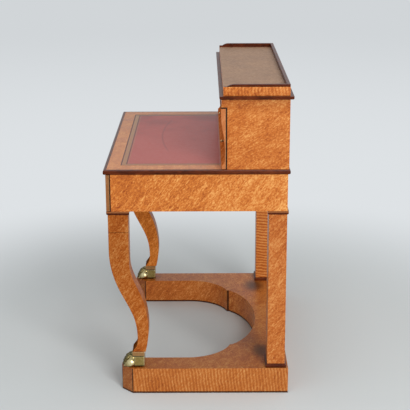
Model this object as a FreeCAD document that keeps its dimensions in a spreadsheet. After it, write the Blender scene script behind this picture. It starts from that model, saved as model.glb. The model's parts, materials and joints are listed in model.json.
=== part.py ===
import FreeCAD, Part
import math
import os
from types import SimpleNamespace
import Sketcher

# Lady's writing desk: a cusped plinth, S-shaped front legs on brass paws, a frieze with one drawer,
# a leather-lined top, and a gradin of two concave-fronted drawers under a galleried cornice.
# X runs along the width, the front faces -Y, Z is up, and the origin is on the floor in the middle.

document = FreeCAD.newDocument("writing_desk")
sheet = document.addObject("Spreadsheet::Sheet", "sizes")

# Driving dimensions in millimetres
driving = {
    # Main box of the desk
    "carcass_width": 890,
    "carcass_depth": 560,
    "top_overhang": 7,
    "top_side_overhang": 5,
    "gradin_step": 3,
    # Heights, stacked from the floor
    "plinth_height": 86,
    "leg_height": 526,
    "frieze_height": 118,
    "top_thickness": 15,
    "gradin_height": 217,
    "cornice_height": 10,
    "cap_height": 27,
    "gallery_height": 8,
    # Plinth
    "plinth_side_step": 5,
    "plinth_back_step": 11,
    "plinth_setback": 34,
    "arm_width": 88,
    "arm_root_width": 195,
    "arm_straight": 210,
    "arm_curve_radius": 150,
    "arm_cant": 36,
    "bay_half_length": 280,
    "bay_half_depth": 150,
    "rail_waist": 88,
    "rail_tenon_length": 40,
    "rail_tenon_width": 54,
    "rail_tenon_height": 30,
    # Legs, capitals and bases
    "leg_inset": 4,
    "front_leg_width": 60,
    "front_leg_depth": 63,
    "front_leg_inset": 3.5,
    "leg_sweep": 85,
    "rear_leg_width": 75,
    "rear_leg_depth": 57,
    "capital_height": 12,
    "capital_overhang": 4,
    "capital_fillet": 5.5,
    "base_height": 12,
    "base_overhang": 4.5,
    "base_chamfer": 4,
    "tenon_width": 20,
    "tenon_depth": 26,
    "tenon_edge": 6,
    "foot_tenon_length": 24,
    "foot_tenon_depth": 20,
    "joint_clearance": 0.2,
    # Brass paws
    "paw_height": 55,
    "paw_width": 66,
    "paw_heel_width": 58,
    "paw_heel_setback": 4.5,
    "paw_reach": 40,
    "paw_collar": 16,
    "paw_collar_proud": 1,
    "paw_collar_lead": 4,
    "paw_peg_radius": 5,
    "paw_peg_length": 22,
    # Frieze carcass
    "frieze_wall": 22,
    "rail_depth": 60,
    "rail_thickness": 18,
    "runner_width": 18,
    # Frieze drawer
    "lip_thickness": 11,
    "lip_gap": 1.2,
    "running_gap": 0.3,
    "drawer_side_gap": 1.5,
    "drawer_top_gap": 3,
    "drawer_back_gap": 87,
    "drawer_core": 14,
    "drawer_wall": 12,
    "drawer_back_wall": 10,
    "drawer_panel": 6,
    "drawer_panel_lift": 6,
    "drawer_groove": 5,
    "lock_width": 60,
    "lock_height": 45,
    "lock_thickness": 12,
    "escutcheon_radius": 9,
    "escutcheon_thickness": 2,
    "keyhole_radius": 2.5,
    "keyhole_slot": 3,
    "keyhole_tail": 6.5,
    # Desk top
    "edge_width": 10,
    "edge_round": 5,
    "leather_thickness": 1.5,
    "leather_gap": 0.3,
    "leather_side_border": 62,
    "leather_front_border": 50,
    "leather_back_border": 1,
    # Gradin
    "gradin_depth": 208,
    "gradin_wall": 18,
    "gradin_back_wall": 12,
    "gradin_base": 8,
    "gradin_roof": 12,
    "gradin_rail_height": 27,
    "gradin_rail_depth": 20,
    "gradin_rebate": 14,
    "divider": 12,
    # Gradin drawers
    "ogee_hollow": 11.4,
    "ogee_top_lead": 1.5,
    "ogee_toe_lead": 1,
    "ogee_upper_radius": 385,
    "ogee_lower_radius": 320,
    "ogee_toe_radius": 24,
    "small_core": 11,
    "small_wall": 8,
    "small_back_wall": 8,
    "small_panel": 5,
    "small_panel_lift": 5,
    "small_groove": 4,
    "small_back_gap": 5,
    "knob_radius": 4.6,
    "knob_dome": 1.5,
    "knob_rim": 3,
    "knob_shoulder": 3,
    "knob_neck_radius": 2.4,
    "knob_neck": 2.5,
    "knob_rose_radius": 4.6,
    "knob_rose": 1.2,
    "knob_inlay": 1.2,
    "knob_shank_radius": 2,
    "knob_shank": 9,
    "knob_height": 37,
    # Cornice, cap and gallery
    "cornice_front_overhang": 6,
    "cornice_back_overhang": 11,
    "cornice_side_overhang": 8,
    "cornice_frame": 30,
    "cornice_chamfer": 5,
    "cap_side_inset": 5,
    "cap_front_inset": 6,
    "tray_depth": 6,
    "gallery_width": 11,
    "gallery_setback": 12,
    "gallery_sweep": 22,
    "gallery_nose": 1,
    "overrun": 5,
}

for row, (alias, number) in enumerate(driving.items(), start=1):
    sheet.set(f"A{row}", str(number))
    sheet.setAlias(f"A{row}", alias)
document.recompute()


class Size:
    """A length that carries both its value and the sheet expression that gives it."""

    def __init__(self, text, number):
        self.text = text
        self.number = number

    def joined(self, mark, other, number):
        return Size(f"({self.text} {mark} {as_size(other).text})", number)

    def __add__(self, other):
        return self.joined("+", other, self.number + as_size(other).number)

    def __sub__(self, other):
        return self.joined("-", other, self.number - as_size(other).number)

    def __mul__(self, share):
        return self.joined("*", share, self.number * as_size(share).number)

    def __truediv__(self, share):
        return self.joined("/", share, self.number / as_size(share).number)

    def __neg__(self):
        return Size(f"(0 - {self.text})", -self.number)


def as_size(thing):
    return thing if isinstance(thing, Size) else Size(repr(thing), thing)


def third_side(longest, side):
    """The third side of a right-angled triangle."""
    text = f"sqrt({longest.text} * {longest.text} - {side.text} * {side.text})"
    return Size(text, math.sqrt(longest.number ** 2 - side.number ** 2))


size = SimpleNamespace(**{alias: Size(f"sizes.{alias}", number) for alias, number in driving.items()})
zero = as_size(0)
subparts = []


def bind(thing, prop, length):
    thing.setExpression(prop, as_size(length).text)


def place(thing, x=zero, y=zero, z=zero):
    """Puts an object at a point, each coordinate tied to the sheet."""
    for axis, length in zip("xyz", (x, y, z)):
        bind(thing, f"Placement.Base.{axis}", length)
    return thing


def keep(piece):
    """Marks an object as a finished sub-part of the desk."""
    subparts.append(piece)
    return piece


def board(name, x, y, z):
    """A rectangular block between three pairs of faces."""
    block = document.addObject("Part::Box", name)
    for prop, (low, high) in zip(("Length", "Width", "Height"), (x, y, z)):
        bind(block, prop, as_size(high) - low)
    return place(block, x[0], y[0], z[0])


def cut(name, base, *tools):
    """The base with each tool taken out of it; the last cut has the name."""
    for count, tool in enumerate(tools, start=1):
        step = document.addObject("Part::Cut", name if count == len(tools) else f"{name}_cut_{count}")
        step.Base = base
        step.Tool = tool
        base = step
    return base


def fuse(name, *shapes):
    joined = document.addObject("Part::MultiFuse", name)
    joined.Shapes = list(shapes)
    joined.Refine = True
    return joined


def group(name, *pieces):
    """Separate solids that share one node."""
    together = document.addObject("Part::Compound", name)
    together.Links = list(pieces)
    return together


def mirror(name, source):
    """The left-hand twin of a right-hand piece."""
    twin = document.addObject("Part::Mirroring", name)
    twin.Source = source
    twin.Normal = FreeCAD.Vector(1, 0, 0)
    return twin


def keep_pair(name, right):
    """Keeps a right-hand piece and its left-hand twin."""
    right.Label = f"right_{name}"
    keep(right)
    return keep(mirror(f"left_{name}", right))


def rod(name, radius, length, start, direction):
    """A round bar from a point along one direction."""
    bar = document.addObject("Part::Cylinder", name)
    bind(bar, "Radius", radius)
    bind(bar, "Height", length)
    bar.Placement.Rotation = FreeCAD.Rotation(FreeCAD.Vector(0, 0, 1), direction)
    return place(bar, *start)


def arc_between(start, end, radius):
    """The short arc between two points; a positive radius turns it left, a negative one right."""
    chord = end - start
    half = chord.Length / 2
    rise = math.sqrt(radius * radius - half * half)
    across = FreeCAD.Vector(-chord.y, chord.x, 0).normalize()
    centre = start + chord * 0.5 + across * math.copysign(rise, radius)
    first, last = (start, end) if radius > 0 else (end, start)
    angles = [math.atan2(point.y - centre.y, point.x - centre.x) for point in (first, last)]
    return Part.ArcOfCircle(Part.Circle(centre, FreeCAD.Vector(0, 0, 1), abs(radius)), *angles)


def outline(body, role, corners):
    """A closed sketch on one of the body's own planes, with each corner tied to the sheet.

    A corner is (across, up), with a third value where the edge that leaves it is an arc:
    that arc's radius, negative where the arc turns right.
    """
    sketch = body.newObject("Sketcher::SketchObject", f"{body.Name}_outline")
    plane = next(item for item in body.Origin.OriginFeatures if item.Role == role)
    sketch.AttachmentSupport = (plane, [""])
    sketch.MapMode = "FlatFace"
    points = [FreeCAD.Vector(corner[0].number, corner[1].number, 0) for corner in corners]
    ends = []
    for index, corner in enumerate(corners):
        here, there = points[index], points[(index + 1) % len(points)]
        radius = corner[2] if len(corner) > 2 else None
        if radius is None:
            sketch.addGeometry(Part.LineSegment(here, there))
        else:
            sketch.addGeometry(arc_between(here, there, radius.number))
        ends.append((2, 1) if radius is not None and radius.number < 0 else (1, 2))
    for index in range(len(corners)):
        following = (index + 1) % len(corners)
        joint = ("Coincident", index, ends[index][1], following, ends[following][0])
        sketch.addConstraint(Sketcher.Constraint(*joint))
    for index, corner in enumerate(corners):
        for kind, length in zip(("DistanceX", "DistanceY"), corner):
            rule = Sketcher.Constraint(kind, -1, 1, index, ends[index][0], length.number)
            bind(sketch, f"Constraints[{sketch.addConstraint(rule)}]", length)
        if len(corner) > 2:
            radius = corner[2] if corner[2].number > 0 else -corner[2]
            rule = Sketcher.Constraint("Radius", index, radius.number)
            bind(sketch, f"Constraints[{sketch.addConstraint(rule)}]", radius)
    return sketch


def rectangle(x, y):
    return [(x[0], y[0]), (x[1], y[0]), (x[1], y[1]), (x[0], y[1])]


def padded(name, role, corners, length):
    """A body made by padding one outline."""
    body = document.addObject("PartDesign::Body", name)
    pad = body.newObject("PartDesign::Pad", f"{body.Name}_pad")
    pad.Profile = outline(body, role, corners)
    bind(pad, "Length", length)
    document.recompute()
    return body


def dressed(body, kind, prop, amount, wanted):
    """Rounds or bevels the edges of a body's last feature that the test picks."""
    last = body.Tip
    names = [f"Edge{number}" for number, edge in enumerate(last.Shape.Edges, start=1) if wanted(edge)]
    feature = body.newObject(f"PartDesign::{kind}", f"{body.Name}_{kind.lower()}")
    feature.Base = (last, names)
    bind(feature, prop, amount)
    document.recompute()
    return body


def level_at(height):
    """Picks the edges that lie level at one height."""
    touch = size.joint_clearance.number / 2
    return lambda edge: all(math.isclose(vertex.Z, height.number, abs_tol=touch) for vertex in edge.Vertexes)


# Heights of the main levels
frieze_base = size.plinth_height + size.leg_height
frieze_top = frieze_base + size.frieze_height
desk_level = frieze_top + size.top_thickness
gradin_top = desk_level + size.gradin_height
cornice_top = gradin_top + size.cornice_height
cap_top = cornice_top + size.cap_height
gallery_top = cap_top + size.gallery_height

# Faces from front to back, with the whole depth centred on the origin
whole_depth = size.top_overhang + size.carcass_depth + size.gradin_step + size.cornice_back_overhang
desk_front = -(whole_depth / 2)
frieze_front = desk_front + size.top_overhang
carcass_front = frieze_front + size.lip_thickness
carcass_back = frieze_front + size.carcass_depth
desk_back = carcass_back + size.top_overhang
plinth_front = frieze_front + size.plinth_setback
plinth_back = carcass_back + size.plinth_back_step
gradin_back = carcass_back + size.gradin_step
gradin_front = gradin_back - size.gradin_depth
gradin_carcass_front = gradin_front + size.gradin_rebate

# Faces across the width, counted from the middle
carcass_side = size.carcass_width / 2
frieze_inside = carcass_side - size.frieze_wall
plinth_side = carcass_side + size.plinth_side_step
desk_side = carcass_side + size.top_side_overhang
leg_outer = carcass_side - size.leg_inset
gradin_inside = carcass_side - size.gradin_wall

# Tenons of the legs: each sits in the corner where a bottom rail meets the frieze side
tenon_x = (frieze_inside - size.tenon_edge - size.tenon_width, frieze_inside - size.tenon_edge)
rail_top = frieze_base + size.rail_thickness
front_leg_face = frieze_front + size.front_leg_inset
front_leg_back = front_leg_face + size.front_leg_depth
front_tenon_middle = (carcass_front + front_leg_back) / 2
rear_leg_front = carcass_back - size.rear_leg_depth
rear_rail_back = carcass_back - size.frieze_wall
rear_tenon_middle = (rear_leg_front + rear_rail_back) / 2


def about(middle, width):
    """The two faces of something centred on a line."""
    return middle - width / 2, middle + width / 2


def eased(faces):
    """A pair of faces moved apart by the joint clearance, for the hollow that takes a tenon."""
    return faces[0] - size.joint_clearance, faces[1] + size.joint_clearance


front_tenon_y = about(front_tenon_middle, size.tenon_depth)
rear_tenon_y = about(rear_tenon_middle, size.tenon_depth)

# Front leg: straight at the top, sweeping back to a slim ankle, then flaring on to the paw.
# Each point of an edge is a share of the sweep and a share of the shaft's height.
shaft_base = size.plinth_height + size.paw_height
shaft_top = frieze_base - size.capital_height
shaft_height = shaft_top - shaft_base
front_edge_shares = [
    (0.0, 0.745), (0.10, 0.592), (0.352, 0.46), (0.715, 0.326), (0.905, 0.236), (0.995, 0.12),
    (0.97, 0.05), (0.85, 0.0),
]
back_edge_shares = [
    (0.0, 0.66), (0.042, 0.591), (0.21, 0.503), (0.427, 0.415), (0.573, 0.326), (0.651, 0.236),
    (0.669, 0.146), (0.612, 0.055), (0.55, 0.0),
]
ankle_front = front_leg_face + size.leg_sweep * front_edge_shares[-1][0]
ankle_back = front_leg_back + size.leg_sweep * back_edge_shares[-1][0]
ankle_middle = (ankle_front + ankle_back) / 2


def leg_edge(face, shares):
    """One swept edge of the front leg as a smooth curve from top to ankle."""
    points = []
    for sweep_share, height_share in shares:
        across = face.number + size.leg_sweep.number * sweep_share
        points.append(FreeCAD.Vector(0, across, shaft_base.number + shaft_height.number * height_share))
    straight_down = FreeCAD.Vector(0, 0, -1)
    flare = (points[-1] - points[-2]).normalize()
    curve = Part.BSplineCurve()
    curve.interpolate(Points=points, InitialTangent=straight_down, FinalTangent=flare)
    return curve.toShape(), points


def front_leg():
    front_curve, front_points = leg_edge(front_leg_face, front_edge_shares)
    back_curve, back_points = leg_edge(front_leg_back, back_edge_shares)
    top_front = FreeCAD.Vector(0, front_leg_face.number, shaft_top.number)
    top_back = FreeCAD.Vector(0, front_leg_back.number, shaft_top.number)
    edges = [
        Part.LineSegment(top_front, front_points[0]).toShape(),
        front_curve,
        Part.LineSegment(front_points[-1], back_points[-1]).toShape(),
        back_curve,
        Part.LineSegment(back_points[0], top_back).toShape(),
        Part.LineSegment(top_back, top_front).toShape(),
    ]
    face = Part.Face(Part.Wire(Part.__sortEdges__(edges)))
    shaft = face.extrude(FreeCAD.Vector(size.front_leg_width.number, 0, 0))
    leg_inner = leg_outer - size.front_leg_width
    upper = Part.makeBox(
        size.tenon_width.number, size.tenon_depth.number, (rail_top - shaft_top).number,
        FreeCAD.Vector((tenon_x[0] - leg_inner).number, front_tenon_y[0].number, shaft_top.number))
    foot_x = about(size.front_leg_width / 2, size.tenon_width)
    foot_y = about(ankle_middle, size.foot_tenon_depth)
    lower = Part.makeBox(
        size.tenon_width.number, size.foot_tenon_depth.number, size.foot_tenon_length.number,
        FreeCAD.Vector(foot_x[0].number, foot_y[0].number, (shaft_base - size.foot_tenon_length).number))
    leg = document.addObject("Part::Feature", "front_leg")
    leg.Shape = shaft.fuse([upper, lower]).removeSplitter()
    leg.Placement = FreeCAD.Placement(FreeCAD.Vector(leg_inner.number, 0, 0), FreeCAD.Rotation())
    return leg


# Plinth arms: straight at the front, widening in one round sweep to the cusp, with canted front corners
def plinth_arm():
    inner = plinth_side - size.arm_width
    root = plinth_side - size.arm_root_width
    bend = plinth_front + size.arm_straight
    curve_centre = inner - size.arm_curve_radius
    cusp_y = bend + third_side(size.arm_curve_radius, root - curve_centre)
    corners = [
        (inner, bend, size.arm_curve_radius),
        (root, cusp_y),
        (root, plinth_back),
        (plinth_side, plinth_back),
        (plinth_side, plinth_front + size.arm_cant),
        (plinth_side - size.arm_cant, plinth_front),
        (inner + size.arm_cant, plinth_front),
        (inner, plinth_front + size.arm_cant),
    ]
    blank = padded("plinth_arm_blank", "XY_Plane", corners, size.plinth_height)
    rear_mortise = board(
        "arm_leg_mortise", eased(tenon_x), eased(rear_tenon_y),
        (size.plinth_height - size.foot_tenon_length, size.plinth_height + size.overrun))
    peg_x = leg_outer - size.front_leg_width / 2
    peg_hole = rod(
        "arm_peg_hole", size.paw_peg_radius + size.joint_clearance, size.paw_peg_length + size.overrun,
        (peg_x, ankle_middle, size.plinth_height - size.paw_peg_length), FreeCAD.Vector(0, 0, 1))
    rail_mortise = board(
        "arm_rail_mortise", (root - size.overrun, root + size.rail_tenon_length + size.joint_clearance),
        eased(rail_tenon_y), eased(rail_tenon_z))
    return cut("plinth_arm", blank, rear_mortise, peg_hole, rail_mortise)


rail_tenon_y = about(plinth_back - size.rail_waist / 2, size.rail_tenon_width)
rail_tenon_z = about(size.plinth_height / 2, size.rail_tenon_height)
keep_pair("plinth_arm", plinth_arm())


# Back rail of the plinth: a board between the arms, hollowed by an oval bay and tenoned at both ends
def plinth_back_rail():
    reach = plinth_side - size.arm_root_width
    bay_middle = plinth_back - size.rail_waist - size.bay_half_depth
    blank = board("rail_blank", (-reach, reach), (bay_middle, plinth_back), (zero, size.plinth_height))
    oval = document.addObject("Part::Ellipse", "bay_oval")
    bind(oval, "MajorRadius", size.bay_half_length)
    bind(oval, "MinorRadius", size.bay_half_depth)
    place(oval, zero, bay_middle, -size.overrun)
    bay = document.addObject("Part::Extrusion", "bay_hollow")
    bay.Base = oval
    bay.DirMode = "Custom"
    bay.Dir = FreeCAD.Vector(0, 0, 1)
    bay.Solid = True
    bind(bay, "LengthFwd", size.plinth_height + size.overrun * 2)
    hollowed = cut("rail_hollowed", blank, bay)
    tenons = board(
        "rail_tenons", (-(reach + size.rail_tenon_length), reach + size.rail_tenon_length),
        rail_tenon_y, rail_tenon_z)
    return fuse("plinth_back_rail", hollowed, tenons)


keep(plinth_back_rail())


# Lion-paw foot: a collar round the ankle, a heel block and four toes, pegged into the plinth.
# The toes are one mass, shaped by its outlines from the side, from above and from the front.
# Points of the side are shares of the paw's length and of its rise to the collar, and bends are arcs' radii.
instep_share, instep_lift_share = 0.36, 0.97
nose_lift_share, sole_share = 0.27, 0.07
knuckle_bend_share, nose_bend_share = 0.5, 0.16
# Points of the plan and the front are shares of the paw's half width and of its length or rise
toe_root_share, toe_split_shares, toe_middle_share = 0.62, (0.55, 0.2), 0.03
outer_toe_bend_share, middle_toe_bend_share = 0.55, 0.36
shoulder_shares, shoulder_lift_shares, shoulder_bend_share = (1.0, 0.72), (0.35, 1.0), 0.75


def common(name, *shapes):
    """What several shapes have in common."""
    shared = document.addObject("Part::MultiCommon", name)
    shared.Shapes = list(shapes)
    return shared


def paw_toes(middle_x, front, back, collar_front, z):
    """The four toes, from three outlines that cross."""
    length = back - front
    rise = z[1] - z[0]
    half = size.paw_width / 2
    side_corners = [
        (back, z[0]),
        (back, z[1]),
        (collar_front, z[1]),
        (front + length * instep_share, z[0] + rise * instep_lift_share, length * knuckle_bend_share),
        (front, z[0] + rise * nose_lift_share, length * nose_bend_share),
        (front + length * sole_share, z[0]),
    ]
    split_x = half * toe_split_shares[0]
    split_y = front + length * toe_split_shares[1]
    heel_half = size.paw_heel_width / 2
    root_y = front + length * toe_root_share
    outer_bend = half * outer_toe_bend_share
    middle_bend = half * middle_toe_bend_share
    plan_corners = [
        (middle_x + heel_half, back),
        (middle_x - heel_half, back),
        (middle_x - heel_half, root_y, outer_bend),
        (middle_x - split_x, split_y, middle_bend),
        (middle_x, front + length * toe_middle_share, middle_bend),
        (middle_x + split_x, split_y, outer_bend),
        (middle_x + heel_half, root_y),
    ]
    wide = half * shoulder_shares[0]
    narrow = half * shoulder_shares[1]
    low = z[0] + rise * shoulder_lift_shares[0]
    high = z[0] + rise * shoulder_lift_shares[1]
    shoulder_bend = half * shoulder_bend_share
    front_corners = [
        (middle_x - wide, z[0]),
        (middle_x + wide, z[0]),
        (middle_x + wide, low, shoulder_bend),
        (middle_x + narrow, high),
        (middle_x - narrow, high, shoulder_bend),
        (middle_x - wide, low),
    ]
    margin = size.overrun * 2
    side = padded("paw_side", "YZ_Plane", side_corners, size.paw_width + margin)
    place(side, middle_x - half - size.overrun)
    plan = padded("paw_plan", "XY_Plane", plan_corners, z[1] + size.overrun)
    view = padded("paw_view", "XZ_Plane", front_corners, length + margin)
    place(view, zero, back + size.overrun)
    return common("paw_toes", side, plan, view)


def paw_foot():
    middle_x = leg_outer - size.front_leg_width / 2
    paw_front = ankle_front - size.paw_reach
    paw_back = ankle_back - size.paw_heel_setback
    collar_base = shaft_base - size.paw_collar
    collar_front = ankle_front - size.paw_collar_lead
    toes = paw_toes(middle_x, paw_front, paw_back, collar_front, (size.plinth_height, collar_base))
    collar_x = about(middle_x, size.front_leg_width + size.paw_collar_proud * 2)
    collar = board("paw_collar", collar_x, (collar_front, paw_back), (collar_base, shaft_base))
    heel_front = paw_front + (paw_back - paw_front) * toe_root_share
    heel_x = about(middle_x, size.paw_heel_width)
    heel = board("paw_heel", heel_x, (heel_front, paw_back), (size.plinth_height, collar_base))
    peg = rod(
        "paw_peg", size.paw_peg_radius, size.paw_peg_length + size.overrun,
        (middle_x, ankle_middle, size.plinth_height - size.paw_peg_length), FreeCAD.Vector(0, 0, 1))
    solid = fuse("paw_solid", toes, collar, heel, peg)
    socket_x = eased(about(middle_x, size.tenon_width))
    socket_y = eased(about(ankle_middle, size.foot_tenon_depth))
    socket_base = shaft_base - size.foot_tenon_length - size.joint_clearance
    socket = board("paw_socket", socket_x, socket_y, (socket_base, shaft_base + size.overrun))
    return cut("paw_foot", solid, socket)


keep_pair("paw_foot", paw_foot())
keep_pair("front_leg", front_leg())


# Rear leg: a square post, tenoned through its capital above and its base below
def rear_leg():
    x = (leg_outer - size.rear_leg_width, leg_outer)
    y = (rear_leg_front, carcass_back)
    post = board("rear_post", x, y, (size.plinth_height + size.base_height, shaft_top))
    upper = board("rear_upper_tenon", tenon_x, rear_tenon_y, (shaft_top, rail_top))
    foot = board(
        "rear_foot_tenon", tenon_x, rear_tenon_y,
        (size.plinth_height - size.foot_tenon_length, size.plinth_height + size.base_height))
    return fuse("rear_leg", post, upper, foot)


keep_pair("rear_leg", rear_leg())


# Capitals and bases: moulded blocks that the leg tenons pass through
def collar_block(name, x, y, z, overhang, tenon_y, kind, prop, amount, edge_height):
    wide_x = (x[0] - overhang, x[1] + overhang)
    wide_y = (y[0] - overhang, y[1] + overhang)
    block = padded(f"{name}_blank", "XY_Plane", rectangle(wide_x, wide_y), z[1] - z[0])
    dressed(block, kind, prop, amount, level_at(edge_height))
    place(block, zero, zero, z[0])
    hole = board(f"{name}_hole", eased(tenon_x), eased(tenon_y), (z[0] - size.overrun, z[1] + size.overrun))
    return cut(name, block, hole)


front_post_x = (leg_outer - size.front_leg_width, leg_outer)
rear_post_x = (leg_outer - size.rear_leg_width, leg_outer)
front_post_y = (front_leg_face, front_leg_back)
rear_post_y = (rear_leg_front, carcass_back)
capital_z = (shaft_top, frieze_base)
base_z = (size.plinth_height, size.plinth_height + size.base_height)
keep_pair("front_capital", collar_block(
    "front_capital", front_post_x, front_post_y, capital_z, size.capital_overhang, front_tenon_y,
    "Fillet", "Radius", size.capital_fillet, zero))
keep_pair("rear_capital", collar_block(
    "rear_capital", rear_post_x, rear_post_y, capital_z, size.capital_overhang, rear_tenon_y,
    "Fillet", "Radius", size.capital_fillet, zero))
keep_pair("rear_base", collar_block(
    "rear_base", rear_post_x, rear_post_y, base_z, size.base_overhang, rear_tenon_y,
    "Chamfer", "Size", size.base_chamfer, size.base_height))

# Frieze carcass: two sides, a back, two bottom rails, a top rail and a pair of drawer runners
frieze_z = (frieze_base, frieze_top)
bottom_rail_z = (frieze_base, rail_top)
between_sides = (-frieze_inside, frieze_inside)
front_rail_y = (carcass_front, carcass_front + size.rail_depth)
rear_rail_y = (rear_rail_back - size.rail_depth, rear_rail_back)
keep_pair("frieze_side", board(
    "frieze_side", (frieze_inside, carcass_side), (carcass_front, carcass_back), frieze_z))
keep(board("frieze_back", between_sides, (rear_rail_back, carcass_back), frieze_z))
keep(board("frieze_top_rail", between_sides, front_rail_y, (frieze_top - size.rail_thickness, frieze_top)))


def tenoned_rail(name, y, tenon_y):
    """A bottom rail with a mortise near each end for a leg's tenon."""
    blank = board(f"{name}_blank", between_sides, y, bottom_rail_z)
    through = (frieze_base - size.overrun, rail_top + size.overrun)
    right = board(f"{name}_right_mortise", eased(tenon_x), eased(tenon_y), through)
    return cut(name, blank, right, mirror(f"{name}_left_mortise", right))


keep(tenoned_rail("frieze_front_rail", front_rail_y, front_tenon_y))
keep(tenoned_rail("frieze_rear_rail", rear_rail_y, rear_tenon_y))
runner = board(
    "right_runner", (frieze_inside - size.runner_width, frieze_inside), (front_rail_y[1], rear_rail_y[0]),
    bottom_rail_z)
keep(group("drawer_runners", runner, mirror("left_runner", runner)))


# Drawer boxes: grooved sides dovetailed into the front, a back, and a bottom that slides in under the back.
# A tail's neck and tip are shares of the spacing of the tails, its length is a share of the front's core.
tail_neck_share, tail_tip_share, tail_length_share = 0.24, 0.34, 0.64
half_share = 0.5


def tailed_outline(back, shoulder, tip, z, tails, ease):
    """The side view of a drawer side, its front end cut in dovetails; ease widens them for the sockets."""
    pitch = (z[1] - z[0]) / tails
    corners = [(back, z[1]), (back, z[0]), (shoulder, z[0])]
    for tail in range(tails):
        middle = z[0] + pitch * (tail + half_share)
        neck = pitch * tail_neck_share + ease
        flare = pitch * tail_tip_share + ease
        corners += [
            (shoulder, middle - neck), (tip - ease, middle - flare), (tip - ease, middle + flare),
            (shoulder, middle + neck),
        ]
    return corners + [(shoulder, z[1])]


def drawer_box(name, x, y, z, core, wall, back_wall, panel, lift, groove, tails):
    """Makes the box behind a drawer front; gives the core block that takes the tails of its sides."""
    inner_x = (x[0] + wall, x[1] - wall)
    panel_z = (z[0] + lift, z[0] + lift + panel)
    groove_x = (inner_x[0] - groove, inner_x[1] + groove)
    groove_y = (y[0] + core - groove, y[1] + size.overrun)
    groove_z = (panel_z[0], panel_z[1] + size.joint_clearance)
    shoulder = y[0] + core
    tip = shoulder - core * tail_length_share
    clear = size.joint_clearance
    side_view = tailed_outline(y[1], shoulder, tip, z, tails, zero)
    socket_view = tailed_outline(shoulder + size.overrun, shoulder, tip, z, tails, clear)
    sides = []
    sockets = []
    for hand, low_x, socket_x in (
            ("left", x[0], x[0] - size.overrun), ("right", inner_x[1], inner_x[1] - clear)):
        blank = place(padded(f"{name}_{hand}_side_blank", "YZ_Plane", side_view, wall), low_x)
        slot = board(f"{name}_{hand}_groove", groove_x, groove_y, groove_z)
        sides.append(cut(f"{name}_{hand}_side", blank, slot))
        reach = wall + size.overrun + clear
        sockets.append(place(padded(f"{name}_{hand}_sockets", "YZ_Plane", socket_view, reach), socket_x))
    keep(group(f"{name}_sides", *sides))
    keep(board(f"{name}_back", inner_x, (y[1] - back_wall, y[1]), (groove_z[1], z[1])))
    keep(board(
        f"{name}_bottom", (groove_x[0] + clear, groove_x[1] - clear), (groove_y[0] + clear, y[1]), panel_z))
    core_blank = board(f"{name}_core_blank", x, (y[0], shoulder), z)
    core_slot = board(f"{name}_core_groove", groove_x, groove_y, groove_z)
    return cut(f"{name}_core", core_blank, core_slot, *sockets)


# Frieze drawer: a full-width front that laps over the carcass, with a lock let in behind
frieze_tails = 3


def frieze_drawer():
    drawer_x = (-(frieze_inside - size.drawer_side_gap), frieze_inside - size.drawer_side_gap)
    drawer_y = (carcass_front - size.running_gap, rear_rail_back - size.drawer_back_gap)
    drawer_z = (rail_top + size.running_gap, frieze_top - size.rail_thickness - size.drawer_top_gap)
    core = drawer_box(
        "frieze_drawer", drawer_x, drawer_y, drawer_z, size.drawer_core, size.drawer_wall,
        size.drawer_back_wall, size.drawer_panel, size.drawer_panel_lift, size.drawer_groove, frieze_tails)
    lip_z = (frieze_base + size.lip_gap, frieze_top - size.lip_gap)
    lip = board("frieze_drawer_lip", (-carcass_side, carcass_side), (frieze_front, drawer_y[0]), lip_z)
    core_back = drawer_y[0] + size.drawer_core
    lock_x = about(zero, size.lock_width)
    lock_y = (core_back - size.lock_thickness, core_back)
    lock_z = (drawer_z[1] - size.lock_height, drawer_z[1])
    keep(board("frieze_drawer_lock", lock_x, lock_y, lock_z))
    lock_bed = board(
        "frieze_lock_bed", lock_x, (lock_y[0], lock_y[1] + size.overrun),
        (lock_z[0], lock_z[1] + size.overrun))
    key_z = (lock_z[0] + lock_z[1]) / 2
    inward = FreeCAD.Vector(0, 1, 0)
    plate = rod(
        "escutcheon_plate", size.escutcheon_radius, size.escutcheon_thickness,
        (zero, frieze_front, key_z), inward)
    key_start = frieze_front - size.overrun
    key_run = lock_y[0] - key_start
    key_round = rod("keyhole_round", size.keyhole_radius, key_run, (zero, key_start, key_z), inward)
    key_tail = board(
        "keyhole_tail", about(zero, size.keyhole_slot), (key_start, lock_y[0]),
        (key_z - size.keyhole_tail, key_z))
    keyhole = fuse("keyhole", key_round, key_tail)
    keep(cut("keyhole_escutcheon", plate, keyhole))
    keep(cut("frieze_drawer_front", fuse("frieze_drawer_slab", lip, core), lock_bed, plate, keyhole))


frieze_drawer()


# Mitred frames: a moulded ring cut into four lengths at its corners
def mitred_frame(name, half_x, y, z, width, kind, prop, amount, edge_heights):
    ring = padded(f"{name}_ring", "XY_Plane", rectangle((-half_x, half_x), y), z[1] - z[0])
    dressed(ring, kind, prop, amount, lambda edge: any(level_at(height)(edge) for height in edge_heights))
    place(ring, zero, zero, z[0])
    lengths = []
    middle_y = (y[0] + y[1]) / 2
    half_y = (y[1] - y[0]) / 2
    for quarter in range(4):
        reach, across = (half_x, half_y) if quarter % 2 else (half_y, half_x)
        wedge = document.addObject("Part::Wedge", f"{name}_mitre_{quarter}")
        values = {
            "Xmin": -across, "Xmax": across, "X2min": -(across - width), "X2max": across - width,
            "Ymin": -reach, "Ymax": -(reach - width),
            "Zmin": z[0], "Zmax": z[1], "Z2min": z[0], "Z2max": z[1],
        }
        for wedge_prop, length in values.items():
            bind(wedge, wedge_prop, length)
        wedge.Placement.Rotation = FreeCAD.Rotation(FreeCAD.Vector(0, 0, 1), 90 * quarter)
        place(wedge, zero, middle_y, zero)
        piece = document.addObject("Part::Common", f"{name}_length_{quarter}")
        piece.Base = ring
        piece.Tool = wedge
        lengths.append(piece)
    return keep(group(name, *lengths))


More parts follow.
